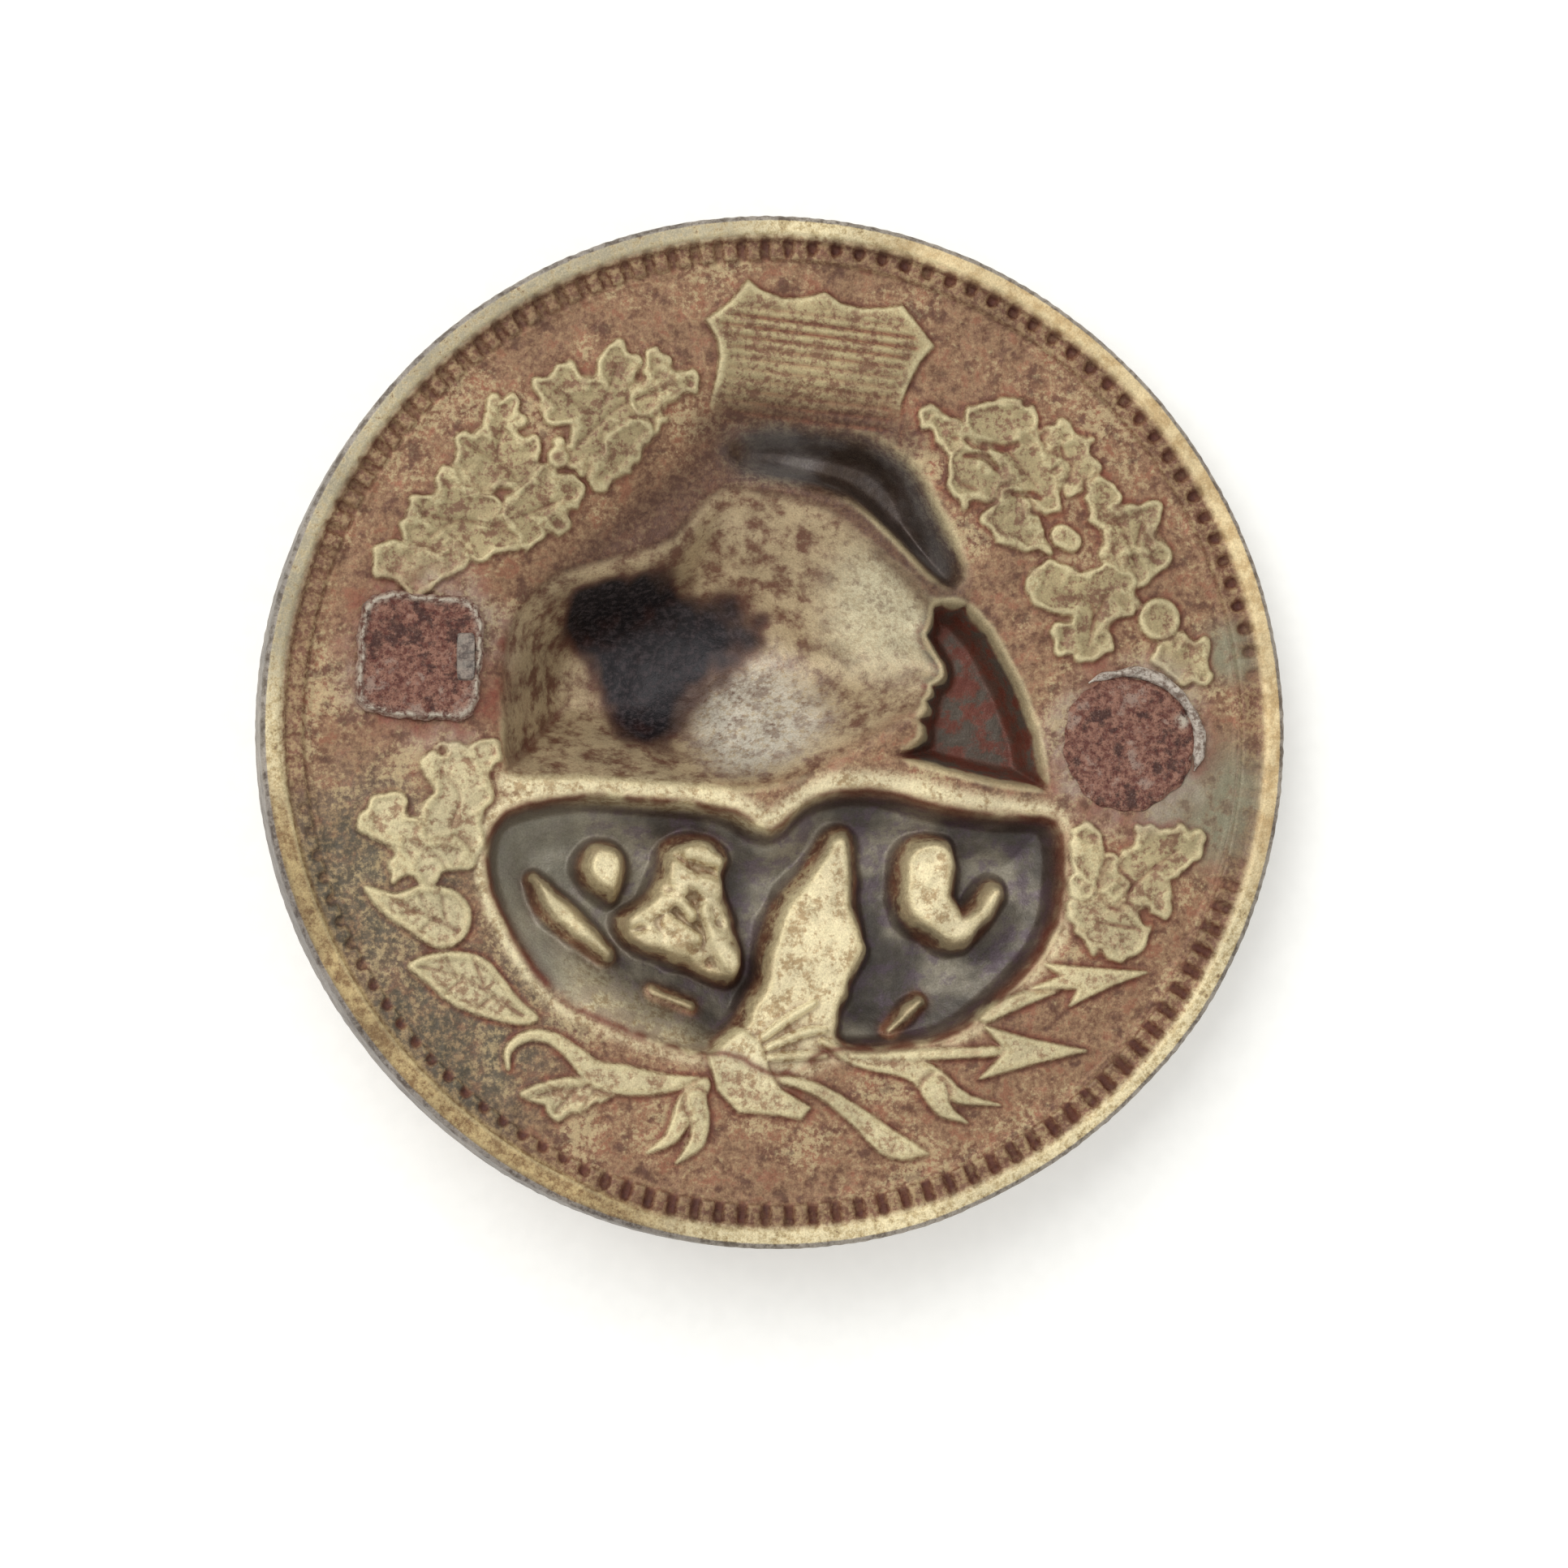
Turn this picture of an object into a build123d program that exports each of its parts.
"""A round cap badge: a struck bronze disc with a bust pressed out through its middle.

The disc lies with its struck back upwards and the pressed bust downwards. Two patches of
solder on the back held a pin fitting that has broken off, and one keeps a stub of its foot.
+Z leaves the back, +Y points to the shield at the top of the back, and +X to the right of
a person who looks at the back. The origin is on the disc's axis, level with the bust's crown.
All lengths are in millimetres and all angles in degrees.
"""

import math
import os

from build123d import *

# The struck disc: its rim is the same on both faces
disc_diameter = 19.05
rim_thickness = 1.5
rim_width = 0.42
rim_height = 0.16
edge_round = 0.12

# The ring of small teeth inside the rim
tooth_count = 128
tooth_length = 0.43
tooth_height = 0.1
tooth_share = 0.58
ring_gap = 0.02

# The bust, pressed out of the back and standing proud of the front rim
wall = 0.5
head_stand = 1.75
shoulder_stand = 0.45
crown_shares = (1.0, 0.95, 0.82, 0.56, 0.2)
crown_depths = (0.0, 0.5, 0.84, 0.97, 1.0)

# The ornament struck on the back: a shield, a wreath of leaves and a tied bundle of arrows
strike_height = 0.1
shield_width = 3.9
shield_height = 2.0
shield_shift = 0.85
shield_turn = -6
shield_ring_gap = 0.35
# The shield's outline, as shares of half its width or half its height
shield_tip_share = 0.72
shield_middle_tip_share = 0.92
shield_sag_share = 0.78
shield_corner_share = 0.45
shield_waist_share = 0.84
shield_waist_rise = -0.2
shield_foot_share = 0.86
leaf_length = 1.35
leaf_width = 0.8
leaf_pitch = 10
leaf_slant = 32
leaf_ring_gap = 0.2
wreath_spans = [(14, 64), (112, 166), (196, 248), (298, 346)]
arrow_width = 0.22
arrow_head_radius = 0.44
knot_radius = 0.68
knot_sides = 5
knot_turn = 12
stem_length = 3.1
stem_width = 0.44
stem_turn = -26
stem_shift = (1.6, -0.72)

# The two solder pads, and the stub of the lost fitting's foot in the left one
left_pad_size = 2.2
left_pad_corner = 0.45
left_pad_rise = 1.3
left_pad_turn = -4
left_pad_ring_gap = 0.96
right_pad_diameter = 2.5
right_pad_rise = -0.18
right_pad_ring_gap = 0.82
pad_thickness = 0.08
pad_land = 0.04
bead_width = 0.16
bead_height = 0.07
stub_width = 0.36
stub_length = 0.95
stub_rise = 0.06
collar_width = 0.3
collar_height = 0.15
collar_clearance = 0.02
collar_start = -30
collar_sweep = 160
solder_clearance = 0.05

# Heights that follow from those sizes
disc_radius = disc_diameter / 2
front_rim_z = head_stand
back_rim_z = front_rim_z + rim_thickness
front_field_z = front_rim_z + rim_height
back_field_z = back_rim_z - rim_height
shoulder_floor_z = front_rim_z - shoulder_stand + wall
pad_top_z = back_field_z + pad_thickness

# Radii and places that follow from those sizes
rim_inner_radius = disc_radius - rim_width
ring_outer_radius = rim_inner_radius - ring_gap
ring_inner_radius = ring_outer_radius - tooth_length
left_pad_x = -(ring_inner_radius - left_pad_ring_gap - left_pad_size / 2)
right_pad_x = ring_inner_radius - right_pad_ring_gap - right_pad_diameter / 2
shield_y = ring_inner_radius - shield_ring_gap - shield_height / 2
leaf_radius = ring_inner_radius - leaf_ring_gap - leaf_width

# The bust fills the width that both pads leave, so its outlines are drawn at a reach of 1
left_room = -left_pad_x - left_pad_size / 2
right_room = right_pad_x - right_pad_diameter / 2
bust_reach = min(left_room, right_room) - pad_land
head_shape = [
    (-0.13, 1.07),
    (0.27, 1.05),
    (0.59, 0.74),
    (0.76, 0.31),
    (0.93, -0.15),
    (0.3, -0.13),
    (-0.1, -0.18),
    (-0.82, -0.14),
    (-0.97, 0.19),
    (-0.65, 0.63),
]
head_middle = (-0.25, 0.31)
knot_place = (-0.12, -1.2)
arrow_tip_places = [(1.15, -0.86), (0.98, -1.13)]
left_pocket_shape = [
    (-0.12, -0.43),
    (-0.46, -0.35),
    (-0.88, -0.38),
    (-0.98, -0.66),
    (-0.74, -1.0),
    (-0.33, -1.16),
    (-0.15, -1.06),
    (-0.11, -0.78),
]
right_pocket_shape = [
    (0.12, -0.42),
    (0.37, -0.3),
    (0.88, -0.38),
    (0.98, -0.62),
    (0.79, -0.93),
    (0.37, -1.14),
    (0.26, -1.0),
    (0.31, -0.72),
    (0.25, -0.5),
]
shoulder_shape = [
    (0.0, -0.2),
    (0.95, -0.24),
    (1.06, -0.62),
    (0.84, -1.02),
    (0.36, -1.22),
    (-0.32, -1.24),
    (-0.8, -1.08),
    (-1.06, -0.66),
    (-0.97, -0.24),
]


def scaled(points, size):
    """The points of an outline drawn at a reach of 1, at their real size."""
    return [(x * size, y * size) for x, y in points]


def spread(points, centre, grow):
    """The points moved straight away from a centre by a length, to follow a wall."""
    moved = []
    for x, y in points:
        run, rise = x - centre[0], y - centre[1]
        share = grow / math.hypot(run, rise)
        moved.append((x + run * share, y + rise * share))
    return moved


def drawn_in(points, centre, share):
    """The points moved towards a centre, to a share of their distance from it."""
    return [(centre[0] + (x - centre[0]) * share, centre[1] + (y - centre[1]) * share) for x, y in points]


def head_form(outline, centre, top, depth):
    """A rounded plug that goes down from a height, for the head's hollow or its outside."""
    with BuildPart() as plug:
        for share, down in zip(crown_shares, crown_depths):
            with BuildSketch(Plane.XY.offset(top - depth * down)):
                with BuildLine():
                    Spline(*drawn_in(outline, centre, share), periodic=True)
                make_face()
        loft()
        # The crown is worn flat at the height where the badge rests
        split(bisect_by=Plane.XY.offset(top - depth), keep=Keep.TOP)
    return plug.part


def pad_plan(grow):
    """The plan of the left pad, made larger all round by a length."""
    with BuildSketch() as plan:
        with Locations((left_pad_x, left_pad_rise)):
            RectangleRounded(
                left_pad_size + 2 * grow,
                left_pad_size + 2 * grow,
                left_pad_corner + grow,
                rotation=left_pad_turn,
            )
    return plan.sketch


def shield_plan():
    """The shield: two sagging scallops between three tips, over sides that draw in."""
    half = shield_width / 2
    top = shield_height / 2
    tip = half * shield_tip_share
    middle_tip = top * shield_middle_tip_share
    sag = top * shield_sag_share
    corner = top * shield_corner_share
    waist = half * shield_waist_share
    waist_rise = top * shield_waist_rise
    foot = half * shield_foot_share
    turn = math.radians(shield_turn)
    shield_plane = Plane(origin=(shield_shift, shield_y, 0), x_dir=(math.cos(turn), math.sin(turn), 0))
    with BuildSketch(shield_plane) as plan:
        with BuildLine():
            ThreePointArc((-tip, top), (-tip / 2, sag), (0, middle_tip))
            ThreePointArc((0, middle_tip), (tip / 2, sag), (tip, top))
            Line((tip, top), (half, corner))
            ThreePointArc((half, corner), (waist, waist_rise), (foot, -top))
            Line((foot, -top), (-foot, -top))
            ThreePointArc((-foot, -top), (-waist, waist_rise), (-half, corner))
            Line((-half, corner), (-tip, top))
        make_face()
    return plan.sketch


def wreath_plan():
    """Leaves in two rows round the bust, left clear of the shield, the knot and both pads."""
    with BuildSketch() as plan:
        for first, last in wreath_spans:
            for step in range((last - first) // leaf_pitch + 1):
                angle = first + step * leaf_pitch
                for row, slant in ((0, leaf_slant), (1, -leaf_slant)):
                    radius = leaf_radius - row * leaf_width
                    with PolarLocations(radius, 1, start_angle=angle + row * leaf_pitch / 2):
                        Ellipse(leaf_width / 2, leaf_length / 2, rotation=slant)
        add(pad_plan(bead_width + solder_clearance), mode=Mode.SUBTRACT)
        with Locations((right_pad_x, right_pad_rise)):
            Circle(right_pad_diameter / 2 + collar_width + solder_clearance, mode=Mode.SUBTRACT)
    return plan.sketch


def arrow_plan():
    """The bundle under the bust: a knot, two arrows to the right and a tapering stem."""
    knot = scaled([knot_place], bust_reach)[0]
    stem = (knot[0] + stem_shift[0], knot[1] + stem_shift[1], 0)
    with BuildSketch() as plan:
        with Locations(knot):
            RegularPolygon(knot_radius, knot_sides, rotation=knot_turn)
        for tip in scaled(arrow_tip_places, bust_reach):
            heading = math.degrees(math.atan2(tip[1] - knot[1], tip[0] - knot[0]))
            middle = ((knot[0] + tip[0]) / 2, (knot[1] + tip[1]) / 2, 0)
            with Locations(Location(middle, heading)):
                Rectangle(math.dist(knot, tip), arrow_width)
            with Locations(Location((*tip, 0), heading)):
                RegularPolygon(arrow_head_radius, 3)
        with Locations(Location(stem, stem_turn)):
            Rectangle(stem_length, stem_width)
    return plan.sketch


# The forms that the disc and its solder share, each made once
head_outline = scaled(head_shape, bust_reach)
head_centre = scaled([head_middle], bust_reach)[0]
left_pocket = scaled(left_pocket_shape, bust_reach)
right_pocket = scaled(right_pocket_shape, bust_reach)
shoulder_outline = scaled(shoulder_shape, bust_reach)
hollow_depth = back_field_z - wall
head_hollow = head_form(head_outline, head_centre, back_field_z, hollow_depth)
head_outside = head_form(spread(head_outline, head_centre, wall), head_centre, hollow_depth, hollow_depth)
shield = shield_plan()
wreath = wreath_plan()
arrows = arrow_plan()

with BuildPart() as struck_disc:
    # The blank, turned with a raised rim on both faces
    with BuildSketch(Plane.XZ):
        with BuildLine():
            Polyline(
                (0, front_field_z),
                (rim_inner_radius, front_field_z),
                (rim_inner_radius, front_rim_z),
                (disc_radius, front_rim_z),
                (disc_radius, back_rim_z),
                (rim_inner_radius, back_rim_z),
                (rim_inner_radius, back_field_z),
                (0, back_field_z),
                close=True,
            )
        make_face()
    revolve(axis=Axis.Z)
    round_edges = edges().filter_by(GeomType.CIRCLE)
    outer_edges = round_edges.filter_by(lambda edge: edge.radius > rim_inner_radius + 0.01)
    fillet(outer_edges, edge_round)

    # The ornament stands out of the back field, and the teeth out of both fields
    with BuildSketch(Plane.XY.offset(back_field_z)):
        add(shield)
        add(wreath)
        add(arrows)
    extrude(amount=strike_height)
    tooth_middle = ring_inner_radius + tooth_length / 2
    tooth_width = 2 * math.pi * tooth_middle / tooth_count * tooth_share
    for height, direction in ((back_field_z, 1), (front_field_z, -1)):
        with BuildSketch(Plane.XY.offset(height)):
            with PolarLocations(tooth_middle, tooth_count):
                Rectangle(tooth_length, tooth_width)
        extrude(amount=direction * tooth_height)

    # The head and the shoulders stand out of the front
    add(head_outside)
    with BuildSketch(Plane.XY.offset(front_rim_z - shoulder_stand)):
        with BuildLine():
            Spline(*shoulder_outline, periodic=True)
        make_face()
    extrude(amount=shoulder_stand + rim_height + wall / 2)

    # The hollows pressed into the back, with the unpressed tongue between the pockets
    add(head_hollow, mode=Mode.SUBTRACT)
    for pocket in (left_pocket, right_pocket):
        with BuildSketch(Plane.XY.offset(shoulder_floor_z)):
            with BuildLine():
                Spline(*pocket, periodic=True)
            make_face()
        extrude(amount=back_rim_z - shoulder_floor_z, mode=Mode.SUBTRACT)

with BuildPart() as left_solder_pad:
    with BuildSketch(Plane.XY.offset(back_field_z)):
        add(pad_plan(0))
    extrude(amount=pad_thickness)
    with BuildSketch(Plane.XY.offset(back_field_z)):
        add(pad_plan(bead_width))
        add(pad_plan(0), mode=Mode.SUBTRACT)
    extrude(amount=pad_thickness + bead_height)
    # The seat that the foot's stub stands in, against the bead on the side of the bust
    stub_x = left_pad_x + left_pad_size / 2 - stub_width / 2 - bead_width / 2
    with BuildSketch(Plane.XY.offset(back_field_z)):
        with Locations((stub_x, left_pad_rise)):
            Rectangle(stub_width, stub_length)
    extrude(amount=pad_thickness, mode=Mode.SUBTRACT)

with BuildPart() as left_foot_stub:
    with BuildSketch(Plane.XY.offset(back_field_z)):
        with Locations((stub_x, left_pad_rise)):
            Rectangle(stub_width, stub_length)
    extrude(amount=pad_thickness + stub_rise)

with BuildPart() as right_solder_pad:
    with BuildSketch(Plane.XY.offset(back_field_z)):
        with Locations((right_pad_x, right_pad_rise)):
            Circle(right_pad_diameter / 2)
    extrude(amount=pad_thickness)

with BuildPart() as right_solder_collar:
    inner = right_pad_diameter / 2 + collar_clearance
    outer = right_pad_diameter / 2 + collar_width
    start = math.radians(collar_start)
    collar_plane = Plane(
        origin=(right_pad_x, right_pad_rise, back_field_z + collar_height / 2),
        x_dir=(math.cos(start), math.sin(start), 0),
        z_dir=(math.sin(start), -math.cos(start), 0),
    )
    with BuildSketch(collar_plane):
        with Locations(((inner + outer) / 2, 0)):
            Rectangle(outer - inner, collar_height)
    revolve(axis=Axis((right_pad_x, right_pad_rise, 0), (0, 0, 1)), revolution_arc=collar_sweep)

pieces = {
    "struck_disc": struck_disc,
    "left_solder_pad": left_solder_pad,
    "left_foot_stub": left_foot_stub,
    "right_solder_pad": right_solder_pad,
    "right_solder_collar": right_solder_collar,
}
os.makedirs("parts", exist_ok=True)
for name, piece in pieces.items():
    piece.part.label = name
    export_step(piece.part, f"parts/{name}.step")
